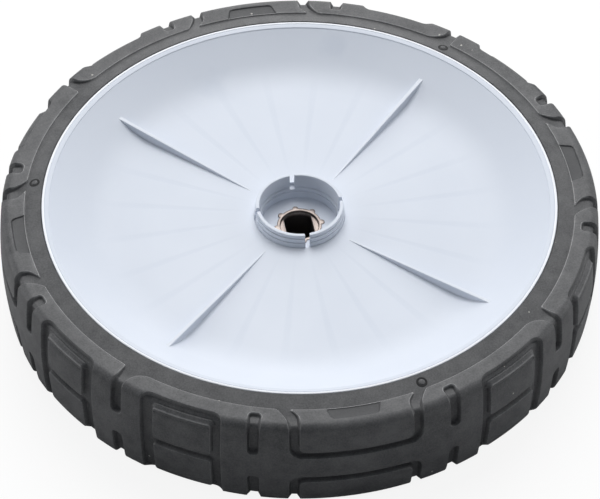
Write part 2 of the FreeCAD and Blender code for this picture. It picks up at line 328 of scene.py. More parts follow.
def makeRubber():
    look = rubberLook
    material, tree, shader = newMaterial("tyreRubber")
    grain = placeGroup(tree, mouldedGrain, look["grain"])
    specks = placeGroup(tree, dustSpecks, look["specks"])
    # the tread's mask is positive along the rounded edges, where a painted highlight lightens the rubber, and
    # negative in the pockets, where painted shade darkens it
    shine = addNode(tree, "ShaderNodeAttribute", attribute_name="edgeShine").outputs["Fac"]
    highlighted = joined(tree, "MAXIMUM", shine, 0.0)
    pocketShadeShare = joined(tree, "MAXIMUM", joined(tree, "MULTIPLY", shine, -0.75), 0.0)
    broken = mapped(tree, grain["Height"], 0.55, 1.0, 0.6, 1.1)
    mottled = mapped(tree, joined(tree, "ADD", grain["Cloud"], grain["Height"]), 0.0, 1.0, 1.05, 1.75)
    base = mixColours(tree, mottled, look["dark"], look["light"])
    # painted shade on the pockets' floors
    pocketed = mixColours(tree, pocketShadeShare, base, look["pocket"])
    # painted highlight along the edges, broken up by the grain
    edged = mixColours(tree, joined(tree, "MULTIPLY", highlighted, broken), pocketed, look["edge"])
    tree.links.new(mixColours(tree, specks["Mask"], edged, look["speck"]), shader.inputs["Base Color"])
    tree.links.new(mapped(tree, grain["Cloud"], *look["roughness"]), shader.inputs["Roughness"])
    shader.inputs["Specular IOR Level"].default_value = look["shine"]
    addBump(tree, shader, grain["Height"], 0.35, look["bump"])
    return material


plasticLook = {
    "colour": (0.655, 0.695, 0.77, 1),
    "shade": (0.585, 0.63, 0.715, 1),
    # the colour of the painted highlight on the lip's bead and the fins' tops
    "bright": (0.88, 0.90, 0.94, 1),
    "roughness": (0.42, 0.52),
    "shine": 0.3,
    "bump": 0.012,
    "grain": {"Fine Scale": 2600.0, "Coarse Scale": 60.0, "Coarse Share": 0.5},
    "cloudShare": 0.25,
    # sink lines: how many, how deep in millimetres, how dark their painted shade is, and where they fade in
    # and out in metres
    "sinkCount": 24,
    "sinkDepth": 0.05,
    "sinkShadeShare": 0.35,
    "sinkStart": (0.022, 0.045),
    "sinkEnd": (0.062, 0.09),
    # soft marks on the dish: x, y and radius in metres
    "blots": ((-0.0229, 0.0797, 0.010), (0.0323, 0.0888, 0.008)),
    "blotShare": 0.5,
}


def sinkMask(tree, look, place):
    # faint lines on the dish where the ribs lie behind it: shallow dips, drawn as a bump, with painted shade
    # along them
    parts = addNode(tree, "ShaderNodeSeparateXYZ", {0: place})
    angle = joined(tree, "ARCTAN2", parts.outputs["Y"], parts.outputs["X"])
    wave = joined(tree, "MULTIPLY", angle, float(look["sinkCount"]))
    crest = addNode(tree, "ShaderNodeMath", {0: wave}, operation="COSINE").outputs[0]
    narrow = mapped(tree, crest, 0.0, 1.0, 0.75, 1.0, "SMOOTHSTEP")
    radius = lengthOf(tree, place)
    inside = mapped(tree, radius, 0.0, 1.0, *look["sinkStart"], "SMOOTHSTEP")
    outside = mapped(tree, radius, 1.0, 0.0, *look["sinkEnd"], "SMOOTHSTEP")
    return joined(tree, "MULTIPLY", narrow, joined(tree, "MULTIPLY", inside, outside))


def makePlastic():
    look = plasticLook
    material, tree, shader = newMaterial("rimPlastic")
    grain = placeGroup(tree, mouldedGrain, look["grain"])
    sink = sinkMask(tree, look, objectPlace(tree))
    cloud = mapped(tree, grain["Cloud"], 0.0, look["cloudShare"], 0.35, 0.75)
    # painted shade along the sink lines, added to the cloud's random tone and the soft marks
    share = joined(tree, "ADD", joined(tree, "MULTIPLY", sink, look["sinkShadeShare"]), cloud)
    for x, y, radius in look["blots"]:
        centre = (x, y, dishHeight(math.hypot(x, y) / mm) * mm)
        blot = placeGroup(tree, softBlot, {"Centre": centre, "Radius": radius})
        share = joined(tree, "ADD", share, joined(tree, "MULTIPLY", blot["Mask"], look["blotShare"]))
    base = mixColours(tree, share, look["colour"], look["shade"])
    # painted highlight on the marked top edges
    edge = addNode(tree, "ShaderNodeAttribute", attribute_name="paintedHighlight").outputs["Fac"]
    tree.links.new(mixColours(tree, edge, base, look["bright"]), shader.inputs["Base Color"])
    tree.links.new(mapped(tree, grain["Cloud"], *look["roughness"]), shader.inputs["Roughness"])
    shader.inputs["Specular IOR Level"].default_value = look["shine"]
    sinkHeight = joined(tree, "MULTIPLY", sink, -look["sinkDepth"] / look["bump"])
    addBump(tree, shader, joined(tree, "ADD", grain["Height"], sinkHeight), 0.5, look["bump"])
    return material


bush = {
    "radius": 9.2, "knobRadius": 1.3, "knobCount": 8, "boreRadius": 7.7, "halfFlats": 5.65,
    "counterRadius": 7.9, "counterDepth": 1.4,
    "edge": 0.35, "mouthEdge": 0.3, "smallEdge": 0.1, "segments": 480,
}
bushLedge = insertTop - bush["counterDepth"]
metalLook = {
    "colour": (0.22, 0.185, 0.17, 1),
    "bright": (0.40, 0.345, 0.315, 1),
    # the colour of the painted shade deep in the bore
    "dark": (0.11, 0.10, 0.095, 1),
    "roughness": (0.34, 0.52),
    "bump": 0.03,
    "grain": {"Fine Scale": 2400.0, "Coarse Scale": 320.0, "Coarse Share": 1.0},
    # painted shade in the bore: how far below its mouth its wall is fully dark, and where the dark begins
    "shadedBelow": (1.6, 0.5),
}


def makeMetal():
    look = metalLook
    material, tree, shader = newMaterial("bushMetal")
    shader.inputs["Metallic"].default_value = 1.0
    grain = placeGroup(tree, mouldedGrain, look["grain"])
    raised = mapped(tree, grain["Height"], 0.0, 1.0, 0.6, 1.2)
    plated = mixColours(tree, raised, look["colour"], look["bright"])
    # painted shade: the bore turns dark below its mouth, where the deep hole gets little light
    parts = addNode(tree, "ShaderNodeSeparateXYZ", {0: objectPlace(tree)}).outputs
    deep = mapped(tree, parts["Z"], 1.0, 0.0, *[(bushLedge - below) * mm for below in look["shadedBelow"]])
    flatPlace = addNode(tree, "ShaderNodeCombineXYZ", {"X": parts["X"], "Y": parts["Y"]})
    inside = joined(tree, "LESS_THAN", lengthOf(tree, flatPlace.outputs[0]), (bush["boreRadius"] + 0.2) * mm)
    colour = mixColours(tree, joined(tree, "MULTIPLY", deep, inside), plated, look["dark"])
    tree.links.new(colour, shader.inputs["Base Color"])
    tree.links.new(mapped(tree, grain["Height"], *look["roughness"], 0.5, 1.2), shader.inputs["Roughness"])
    addBump(tree, shader, grain["Height"], 0.4, look["bump"])
    return material


paintedShadeColour = (0.012, 0.012, 0.013, 1)


def makePaintedShade():
    # painted shade: a near-black rubber for the bottom of the marks' narrow rings, where shade falls
    material, tree, shader = newMaterial("paintedRingShade")
    shader.inputs["Base Color"].default_value = paintedShadeColour
    shader.inputs["Roughness"].default_value = 0.8
    return material


rubber = makeRubber()
shade = makePaintedShade()
plastic = makePlastic()
metal = makeMetal()
print("materials made")

# Tyre: a quarter of one half of the tread is drawn flat as contour lines, triangulated, sunk and copied round
tyre = {
    "crown": 1.3, "crownReach": 20.0, "cornerRadius": 3.5, "cornerShare": 0.876, "shoulderDrop": 0.8,
    "crownSteps": 60, "cornerSteps": 16,
    "bandWidth": 6.6, "bandStep": 0.8, "bandFall": 1.6,
    # how a cut's edge and foot are rounded, at most and as a share of its depth, and how far its walls lean
    "edgeRound": 0.3, "edgeShare": 0.4, "footRound": 0.4, "footShare": 0.35,
    "wallLean": 0.35, "cornerLean": 0.9, "bandLean": 0.12, "pocketLean": 0.3,
    # the deep grooves' depths and leans: even up to grooveFlat, then running out before the sidewall band
    "grooveFlat": 16.5, "grooveDepths": (2.5, 2.4, 1.9, 1.8, 1.7, 1.35), "depthRunOut": (4.0, 2.0),
    "runOutLeans": (0.63, 0.3), "leanRunOut": (4.0, 1.5),
    "halfRib": 5.6, "ringGroove": 3.3, "blockHalfAngle": 10.5, "sideGroove": 3.85,
    "outerCorner": 5.0, "innerCorner": 2.5, "bandCorner": 0.7,
    "blockAtBand": 24.3, "gapAtBand": 29.2, "gapNeck": 26.4, "blockFlare": 4.5, "gapFlare": 5.5,
    "drawnIn": (0, 0.12, 0.9, 1), "drawnFrom": 2.5, "drawnTo": 0.6,
    "sipeWidth": 4.5, "sipeFlare": 0.9, "sipeFlareRun": 4.0,
    "sipeHalfRib": 6.5, "sipeReach": 2.8, "sipeCorner": 1.8,
    "jointAngle": 43.8, "jointWidth": 5.0, "jointHalfRib": 6.0, "jointCorner": 1.9,
    "jointSquare": 0.8, "jointRound": 7.0,
    "panelReach": 6.0, "panelDepth": 2.2, "panelCorner": 4.5,
    "plateHalfGap": 1.85, "plateEnd": 18.2, "plateCorner": 1.2, "plateBevel": 1.5, "plateBevelFull": 0.8,
    "plateLine": 16.7, "plateLineDepth": 0.28, "plateLineHalf": 0.45, "plateLineInset": 0.4,
    "pocketReach": 5.4, "pocketHalfInside": 5.45, "pocketHalfOutside": 4.5,
    "pocketDepth": 0.6, "pocketCorner": 1.3,
    # the mesh: steps of the contour lines' grid and of the points between them, and what is merged
    "contourStep": 0.68, "columnStep": 1.6, "rowSteps": (7, 8, 4, 4), "fillGap": 0.4,
    "mergeGap": 0.03, "borderSnap": 0.05, "weldGap": 0.004, "normalStep": 0.05,
    "unevenTurn": 1.8,
}
# The blocks beside the X axis are a little shorter than those beside the Y axis
besideX = {
    "neck": 20.0, "sipeAngle": 18.2, "panelAngle": 30.45, "panelHalfAngle": 7.5,
    "plateAngle": 30.35, "plateHalfAngle": 5.0,
}
besideY = {
    "neck": 21.3, "sipeAngle": 19.0, "panelAngle": 32.9, "panelHalfAngle": 7.9,
    "plateAngle": 32.5, "plateHalfAngle": 5.65,
}
# Where a cut that runs out past the sidewall band ends, and a distance that no contour line reaches
openEnd = 200.0
farOff = 5.0


def tyreSection():
    # the uncut outline from the middle plane to the rim: radius, height and the way out of the rubber
    t = tyre
    edge = faceHeight - t["shoulderDrop"]
    fall = t["crown"] / t["crownReach"] ** 2
    line = []
    for z in np.linspace(0, edge - t["cornerRadius"] * t["cornerShare"], t["crownSteps"]):
        slope = math.atan(2 * fall * z)
        line.append((wheelRadius - fall * z * z, z, math.cos(slope), math.sin(slope)))
    r, z, outward, upward = line[-1]
    middleR, middleZ = r - t["cornerRadius"] * outward, z - t["cornerRadius"] * upward
    first = math.asin(upward)
    for k in range(1, t["cornerSteps"] + 1):
        turn = first + (math.pi / 2 - first) * k / t["cornerSteps"]
        c, s = math.cos(turn), math.sin(turn)
        line.append((middleR + t["cornerRadius"] * c, middleZ + t["cornerRadius"] * s, c, s))
    top = line[-1][1]
    line.append((rimRadius + t["bandWidth"], top, 0.0, 1.0))
    line.append((rimRadius, top + t["bandFall"], 0.0, 1.0))
    line = np.array(line)
    run = np.concatenate([[0], np.cumsum(np.hypot(np.diff(line[:, 0]), np.diff(line[:, 1])))])
    return run, line


sectionRun, sectionLine = tyreSection()
cornerStart = sectionRun[tyre["crownSteps"] - 1]
cornerEnd, bandStart, sectionEnd = sectionRun[-3:]
sectionPlaces = (cornerStart, cornerEnd, bandStart, sectionEnd)
print("tyre section: corner from %.1f to %.1f, band at %.1f of %.1f mm" % sectionPlaces)


def onSection(s):
    # radius, height and the two parts of the way out, at the distance s along the section
    return [np.interp(s, sectionRun, sectionLine[:, k]) for k in range(4)]


def grooveDepth(s):
    t = tyre
    far, near = t["depthRunOut"]
    places = [0, t["grooveFlat"], cornerStart + 1, cornerEnd, bandStart - far, bandStart - near, bandStart]
    return np.interp(s, places, [*t["grooveDepths"], t["bandStep"]])


def grooveLean(s):
    # steep on the tread, wide over the corner, steep again at the band
    t = tyre
    far, near = t["leanRunOut"]
    places = [t["grooveFlat"], cornerStart + 1, cornerEnd, bandStart - far, bandStart - near, bandStart]
    leans = [t["wallLean"], t["cornerLean"], t["cornerLean"], *t["runOutLeans"], t["bandLean"]]
    return np.interp(s, places, leans)


def roundBox(x, s, halfWidth, low, high, corner):
    # distance from the edge of a box with round corners, negative inside it
    qx = np.abs(x) - halfWidth + corner
    qs = np.abs(s - (low + high) / 2) - (high - low) / 2 + corner
    return np.hypot(np.maximum(qx, 0), np.maximum(qs, 0)) + np.minimum(np.maximum(qx, qs), 0) - corner


def roundJoin(d1, d2, corner):
    # two cuts that meet, with the land's corner between them rounded
    a, b = corner - d1, corner - d2
    return np.where((a > 0) & (b > 0), corner - np.hypot(a, b), np.minimum(d1, d2))


def lateral(a, s, centre):
    return onSection(s)[0] * np.sin(a - math.radians(centre))


def chord(halfAngle):
    return wheelRadius * math.sin(math.radians(halfAngle))


def shoulderWidth(s, onTread, neck, atBand, flare, power):
    # half width of a block or gap: even on the tread, drawn in over the corner, flaring at the sidewall band
    t = tyre
    places = [cornerStart - t["drawnFrom"], cornerStart, cornerEnd - t["drawnTo"], cornerEnd]
    drawnIn = np.interp(s, places, t["drawnIn"])
    nearBand = np.clip(1 - (bandStart - s) / flare, 0, 1) ** power
    return onTread + (neck - onTread) * drawnIn + (atBand - neck) * nearBand


def blockGroove(a, s, centre, neck):
    t = tyre
    x = np.abs(lateral(a, s, centre))
    block = chord(t["blockHalfAngle"])
    gap = block + t["sideGroove"]
    blockHalf = shoulderWidth(s, block, neck, t["blockAtBand"], t["blockFlare"], 2.0)
    gapHalf = shoulderWidth(s, gap, t["gapNeck"], t["gapAtBand"], t["gapFlare"], 1.5)
    blockRib = t["halfRib"] + t["ringGroove"]
    outer = roundBox(x - gapHalf + gap, s, gap, t["halfRib"], openEnd, t["outerCorner"])
    inner = roundBox(x - blockHalf + block, s, block, blockRib, openEnd, t["innerCorner"])
    return np.maximum(outer, -inner)


def jointGroove(a, s):
    t = tyre
    x = lateral(a, s, t["jointAngle"])
    slot = roundBox(x, s, t["jointWidth"] / 2, t["jointHalfRib"], openEnd, t["jointCorner"])
    return slot, np.where(x > 0, t["jointRound"], t["jointSquare"])


def deepCut(a, s):
    # the sidewall band and the grooves that run out into it, as one cut
    band = bandStart - s
    parts = [roundJoin(blockGroove(a, s, centre, side["neck"]), band, tyre["bandCorner"])
             for centre, side in ((0.0, besideX), (90.0, besideY))]
    slot, slotCorner = jointGroove(a, s)
    return np.minimum.reduce([*parts, roundJoin(slot, band, slotCorner)])


def sipeCut(a, s, centre):
    t = tyre
    flare = t["sipeFlare"] / 2 * np.clip((s - cornerStart) / t["sipeFlareRun"] + 0.5, 0, 1)
    x = np.abs(lateral(a, s, centre)) - flare
    return roundBox(x, s, t["sipeWidth"] / 2, t["sipeHalfRib"], bandStart - t["sipeReach"], t["sipeCorner"])


def panelCut(a, s, centre, halfAngle):
    end = bandStart - tyre["panelReach"]
    return roundBox(lateral(a, s, centre), s, chord(halfAngle), -end, end, tyre["panelCorner"])


def plateEdge(a, s, centre, halfAngle):
    t = tyre
    x = lateral(a, s, centre)
    return roundBox(x, s, chord(halfAngle), t["plateHalfGap"], t["plateEnd"], t["plateCorner"])


def pocketCut(a, s, centre):
    t = tyre
    band = rimRadius + t["bandWidth"]
    reach = bandStart - t["pocketReach"]
    inside = band * math.sin(math.radians(t["pocketHalfInside"]))
    outside = (band + t["pocketReach"]) * math.sin(math.radians(t["pocketHalfOutside"]))
    half = outside + (inside - outside) * (s - reach) / t["pocketReach"]
    x = np.abs(lateral(a, s, centre)) - half + outside
    return np.maximum(roundBox(x, s, outside, reach, openEnd, t["pocketCorner"]), s - bandStart)


def sunk(d, depth, lean):
    # depth of a cut at distance d from its edge, positive on the land: round edge, leaning wall, round foot
    t = tyre
    edge = np.minimum(t["edgeRound"], t["edgeShare"] * depth)
    foot = np.minimum(t["footRound"], t["footShare"] * depth)
    overEdge = edge * (1 - np.sqrt(np.clip(1 - np.clip((edge - d) / edge, 0, 1) ** 2, 0, 1)))
    wall = edge + (depth - edge - foot) * np.clip(-d / lean, 0, 1)
    floor = foot * np.sqrt(np.clip(1 - np.clip((lean + foot + d) / foot, 0, 1) ** 2, 0, 1))
    return np.where(d > 0, overEdge, wall + floor * (d < -lean))


def panels():
    # angle and half angle of each panel and of the plates in it
    for turn, side in ((lambda angle: angle, besideX), (lambda angle: 90 - angle, besideY)):
        panel, plate = turn(side["panelAngle"]), turn(side["plateAngle"])
        yield panel, side["panelHalfAngle"], plate, side["plateHalfAngle"]


def grooveCuts(a, s):
    # each cut as its distance field, its depth and the lean of its walls
    depth, lean = grooveDepth(s), grooveLean(s)
    sipes = [sipeCut(a, s, centre) for centre in (besideX["sipeAngle"], 90 - besideY["sipeAngle"])]
    return [(d, depth, lean) for d in (deepCut(a, s), *sipes)]


def pocketCuts(a, s):
    return [(pocketCut(a, s, centre), tyre["pocketDepth"], tyre["pocketLean"]) for centre in (0.0, 90.0)]


def plateLean(s):
    # a plate's side walls are steep, its shoulder end is bevelled
    t = tyre
    places = [t["plateLine"], t["plateEnd"] - t["plateBevelFull"]]
    return np.interp(s, places, [t["wallLean"], t["plateBevel"]])


def treadDepth(a, s):
    t = tyre
    depth = np.maximum.reduce([sunk(*cut) for cut in grooveCuts(a, s) + pocketCuts(a, s)])
    onLine = t["plateLineDepth"] * np.clip(1 - np.abs(s - t["plateLine"]) / t["plateLineHalf"], 0, 1)
    for panel, half, plate, plateHalf in panels():
        edge = plateEdge(a, s, plate, plateHalf)
        lined = onLine * (edge < -t["plateLineInset"])
        raised = np.maximum(sunk(-edge, t["panelDepth"], plateLean(s)), lined)
        floor = sunk(panelCut(a, s, panel, half), t["panelDepth"], t["wallLean"])
        depth = np.maximum(depth, np.minimum(floor, raised))
    return depth


edgeLight = {
    # the painted highlight along a rounded edge: how far out on the land, how wide, and how strong on each
    # kind of edge
    "offset": 0.08, "width": 0.13, "plateShare": 0.3, "panelShare": 0.2, "treadShare": 0.15,
    # where the shoulder's highlight runs in, and where the pockets' painted shade begins and is full
    "shoulderFrom": 1.0, "shoulderRun": 3.0, "pocketInset": 0.15, "pocketFade": 0.5,
}


def edgeShine(a, s):
    # how near a point is to a rounded edge, up to 1, shown by the rubber as a painted highlight: strongest
    # along the shoulder
    w = edgeLight

    def highlightLine(d):
        return np.exp(-((d - w["offset"]) / w["width"]) ** 2)

    onShoulder = np.clip((s - cornerEnd + w["shoulderFrom"]) / w["shoulderRun"], w["treadShare"], 1)
    near = np.maximum.reduce([highlightLine(d) for d, *_ in grooveCuts(a, s)]) * onShoulder
    for panel, half, plate, plateHalf in panels():
        near = np.maximum(near, w["plateShare"] * highlightLine(-plateEdge(a, s, plate, plateHalf)))
        near = np.maximum(near, w["panelShare"] * highlightLine(panelCut(a, s, panel, half)))
    # the pockets' floors count below zero, and the rubber shows them with painted shade
    inPocket = np.minimum(*[d for d, *_ in pocketCuts(a, s)])
    return np.where(inPocket < -w["pocketInset"], -np.clip(-inPocket / w["pocketFade"], 0, 1), near)


def creaseLines(a, s):
    # distance fields and the levels at which the mesh needs an edge line
    t = tyre
    edge, foot, lean, bevel = t["edgeRound"], t["footRound"], t["wallLean"], t["plateBevel"]
    onEdge = (edge, 0.45 * edge, 0.0)
    onWall = (*onEdge, -lean, -lean - foot)
    lines = []
    for d, _, wall in grooveCuts(a, s):
        lines += [(d, onEdge), (d / wall, (-0.5, -1.0)), (d + wall, (-0.5 * foot, -foot))]
    shallow = t["edgeShare"] * t["pocketDepth"]
    for d, _, wall in pocketCuts(a, s):
        lines.append((d, (shallow, 0.0, -wall, -wall - 0.8 * shallow)))
    for panel, half, plate, plateHalf in panels():
        onPlate = -plateEdge(a, s, plate, plateHalf)
        lines += [(panelCut(a, s, panel, half), onWall), (onPlate, onWall)]
        atEnd = np.where(s > t["plateLine"], onPlate, farOff)
        lines.append((atEnd, (-0.75 * bevel, -bevel, -bevel - foot)))
        for offset in (-t["plateLineHalf"], 0.0, t["plateLineHalf"]):
            across = np.where(onPlate > t["plateLineInset"], s - t["plateLine"] - offset, farOff)
            lines.append((across, (0.0,)))
    return lines


def contourSegments(values, level, us, ss):
    # marching squares: the segments of one level line over the grid
    v = values - level
    v = np.where(np.abs(v) < 1e-9, 1e-9, v)
    points, index, segments = [], {}, []

    def crossing(i0, j0, i1, j1):
        key = (i0, j0, i1, j1)
        if key not in index:
            f = v[i0, j0] / (v[i0, j0] - v[i1, j1])
            index[key] = len(points)
            points.append((us[i0] + f * (us[i1] - us[i0]), ss[j0] + f * (ss[j1] - ss[j0])))
        return index[key]

    sign = v > 0
    cells = sign[:-1, :-1].astype(int) + sign[1:, :-1] + sign[:-1, 1:] + sign[1:, 1:]
    for i, j in zip(*np.nonzero((cells > 0) & (cells < 4))):
        hits = []
        around = ((i, j, i + 1, j), (i + 1, j, i + 1, j + 1), (i, j + 1, i + 1, j + 1), (i, j, i, j + 1))
        for i0, j0, i1, j1 in around:
            if sign[i0, j0] != sign[i1, j1]:
                hits.append(crossing(i0, j0, i1, j1))
        segments += [(hits[k], hits[k + 1]) for k in range(0, len(hits) - 1, 2)]
    return points, segments


def quarterMesh():
    t = tyre
    width = math.pi / 2 * wheelRadius
    us = np.linspace(0, width, int(width / t["contourStep"]) + 1)
    ss = np.linspace(0, sectionEnd, int(sectionEnd / t["contourStep"]) + 1)
    gridA, gridS = np.meshgrid(us / wheelRadius, ss, indexing="ij")
    points, edges = [], []
    for d, levels in creaseLines(gridA, gridS):
        for level in levels:
            found, segments = contourSegments(d, level, us, ss)
            start = len(points)
            points += found
            edges += [(start + p, start + q) for p, q in segments]
    # border of the quarter, with a point at each grid column and row
    columns = list(np.linspace(0, width, int(90 / t["columnStep"]) + 1))
    rows = [0.0]
    for high, steps in zip(sectionPlaces, t["rowSteps"]):
        rows += list(np.linspace(rows[-1], high, steps + 1)[1:])
    start = len(points)
    border = [(u, 0.0) for u in columns] + [(width, s) for s in rows[1:]]
    border += [(u, sectionEnd) for u in columns[::-1][1:]] + [(0.0, s) for s in rows[::-1][1:-1]]
    points += border
    edges += [(start + k, start + (k + 1) % len(border)) for k in range(len(border))]
    # points between the contour lines
    innerU, innerS = [m.ravel() for m in np.meshgrid(columns[1:-1], rows[1:-1], indexing="ij")]
    clear = np.ones(innerU.shape, bool)
    for d, levels in creaseLines(innerU / wheelRadius, innerS):
        clear &= (d > max(levels) + t["fillGap"]) | (d < min(levels) - t["fillGap"])
    points += list(zip(innerU[clear], innerS[clear]))
    flatPoints = [Vector((float(u), float(s))) for u, s in points]
    result = delaunay_2d_cdt(flatPoints, edges, [], 0, t["mergeGap"])
    flat = np.array([tuple(p) for p in result[0]])
    for column, end in ((0, width), (1, sectionEnd)):
        for line in (0.0, end):
            flat[np.abs(flat[:, column] - line) < t["borderSnap"], column] = line
    middle = np.array([flat[list(f)].mean(axis=0) for f in result[2]])
    inside = np.all((middle > 0) & (middle < (width, sectionEnd)), axis=1)
    return flat, [f for f, keep in zip(result[2], inside) if keep]


def sunkSection(a, s):
    # radius and height of the cut surface; the quarter is mirrored at its borders
    a = np.abs(a)
    a = np.where(a > math.pi / 2, math.pi - a, a)
    run = np.minimum(np.abs(s), sectionEnd)
    depth = treadDepth(a, run)
    r, z, outward, upward = onSection(run)
    return r - depth * outward, np.sign(s) * (z - depth * upward)


def treadNormal(a, s):
    # the surface's normal along the radius, round the wheel and along the axis, by small steps on both sides
    step = tyre["normalStep"]
    turn = step / wheelRadius
    r0, z0 = sunkSection(a - turn, s)
    r1, z1 = sunkSection(a + turn, s)
    r2, z2 = sunkSection(a, s - step)
    r3, z3 = sunkSection(a, np.minimum(s + step, sectionEnd))
    overTurn = np.stack([r1 - r0, (r0 + r1) * turn, z1 - z0])
    overRun = np.stack([r3 - r2, np.zeros_like(r2), z3 - z2])
    normal = np.cross(overTurn, overRun, axis=0)
    normal /= np.linalg.norm(normal, axis=0)
    outward, upward = onSection(s)[2:]
    return normal * np.where(normal[0] * outward + normal[2] * upward < 0, -1, 1)


def closeUnderRim(bm):
    # the ring between the two sidewall edges, hidden under the rim's lips
    reach = (rimRadius + tyre["borderSnap"]) * mm
    seat = (faceHeight - rim["lipHeight"]) * mm
    border = [e for e in bm.edges
              if e.is_boundary and all(math.hypot(v.co.x, v.co.y) < reach for v in e.verts)]
    loops = []
    for sign in (1, -1):
        edges = [e for e in border if e.verts[0].co.z * sign > 0]
        for radius in (rimRadius, rimRadius - rim["seatDrop"]):
            grown = bmesh.ops.extrude_edge_only(bm, edges=edges)["geom"]
            for v in grown:
                if isinstance(v, bmesh.types.BMVert):
                    share = radius * mm / math.hypot(v.co.x, v.co.y)
                    v.co = Vector((v.co.x * share, v.co.y * share, sign * seat))
            edges = [e for e in grown if isinstance(e, bmesh.types.BMEdge) and e.is_boundary]
        loops += edges
    bmesh.ops.bridge_loops(bm, edges=loops)


def makeTyre():
    t = tyre
    flat, faces = quarterMesh()
    a = np.clip(flat[:, 0] / wheelRadius, 0, math.pi / 2)
    s = np.clip(flat[:, 1], 0, sectionEnd)
    shine = edgeShine(a, s)
    r, z = sunkSection(a, s)
    alongR, alongTurn, alongZ = treadNormal(a, s)
    points, normals, allFaces = [], [], []
    for side in (1, -1):
        for start, way in ((0, 1), (math.pi, -1), (math.pi, 1), (2 * math.pi, -1)):
            angle = start + way * a
            if start + way < math.pi:
                # the tread of the real wheel sits a little unevenly on the rim's far half
                swing = np.sin(2 * angle) * np.abs(np.sin(2 * angle))
                angle = angle + math.radians(t["unevenTurn"]) * swing
            offset = len(points)
            points += list(zip(r * np.cos(angle), r * np.sin(angle), side * z))
            c, n = np.cos(angle), np.sin(angle)
            across = way * alongTurn
            normals += list(zip(alongR * c - across * n, alongR * n + across * c, side * alongZ))
            for f in faces:
                allFaces.append(tuple(offset + i for i in (f if way * side > 0 else reversed(f))))
    piece = newPiece("tyreTread", points, allFaces, rubber)
    # the mask of the rubber's painted highlight on edges and painted shade in pockets
    mask = piece.data.attributes.new("edgeShine", "FLOAT", "POINT")
    mask.data.foreach_set("value", np.tile(shine, 8).astype(np.float32))
    kept = piece.data.attributes.new("surfaceNormal", "FLOAT_VECTOR", "POINT")
    kept.data.foreach_set("vector", np.array(normals, np.float32).ravel())
    bm = bmesh.new()
    bm.from_mesh(piece.data)
    bmesh.ops.remove_doubles(bm, verts=bm.verts, dist=t["weldGap"] * mm)
    closeUnderRim(bm)
    bmesh.ops.recalc_face_normals(bm, faces=bm.faces)
    bm.to_mesh(piece.data)
    bm.free()
    piece.data.shade_smooth()
    # exact normals of the sunk surface, so that the triangles don't show
    count = len(piece.data.vertices)
    exact = np.zeros(count * 3, np.float32)
    piece.data.attributes["surfaceNormal"].data.foreach_get("vector", exact)
    piece.data.normals_split_custom_set_from_vertices([tuple(n) for n in exact.reshape(count, 3).tolist()])
    piece.data.attributes.remove(piece.data.attributes["surfaceNormal"])
    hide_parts("tyre")
    return piece


tyrePiece = makeTyre()
print("tyre made: %d faces" % len(tyrePiece.data.polygons))

# Marks moulded into the sidewall band; a profile is radius and height over the band
marks = {
    "angles": (45.0, 165.0, 285.0), "radius": 108.5, "segments": 40,
    "ring": ((2.25, -0.1), (2.2, 0.03), (2.05, 0.05), (1.5, 0.05), (1.35, 0.03), (1.3, -0.1)),
    "dot": ((1.32, -0.1), (1.28, 0.08), (1.05, 0.28), (0.6, 0.38), (0.15, 0.42)),
}


def makeMark(name, profile, capped, material):
    # one ring or dot at each of the three places on the band of the outer side
    slope = math.atan(tyre["bandFall"] / tyre["bandWidth"])
    top = sectionLine[-1][1] - tyre["bandStep"] - (marks["radius"] - rimRadius) * math.tan(slope)
    tilt = Matrix.Rotation(slope, 3, "Y")
    place = Vector((marks["radius"], 0, top))
    count = marks["segments"]
    points, faces = [], []
    for mark in marks["angles"]:
        turn = Matrix.Rotation(math.radians(mark), 3, "Z")
        offset = len(points)
        for radius, height in profile:
            for k in range(count):
                a = 2 * math.pi * k / count
                onBand = Vector((radius * math.cos(a), radius * math.sin(a), height))
                points.append(tuple(turn @ (tilt @ onBand + place)))
        faces += ringFaces(offset, len(profile), count)
        if capped:
            faces.append(endFaces(offset, len(profile), count)[1])
    piece = newPiece(name, points, faces, material)
    tidyNormals(piece)


# the rings are a thin near-black sheet, painted shade over the moulded ring grooves
makeMark("markRings", marks["ring"], False, shade)
makeMark("markDots", marks["dot"], True, rubber)
print("marks made")


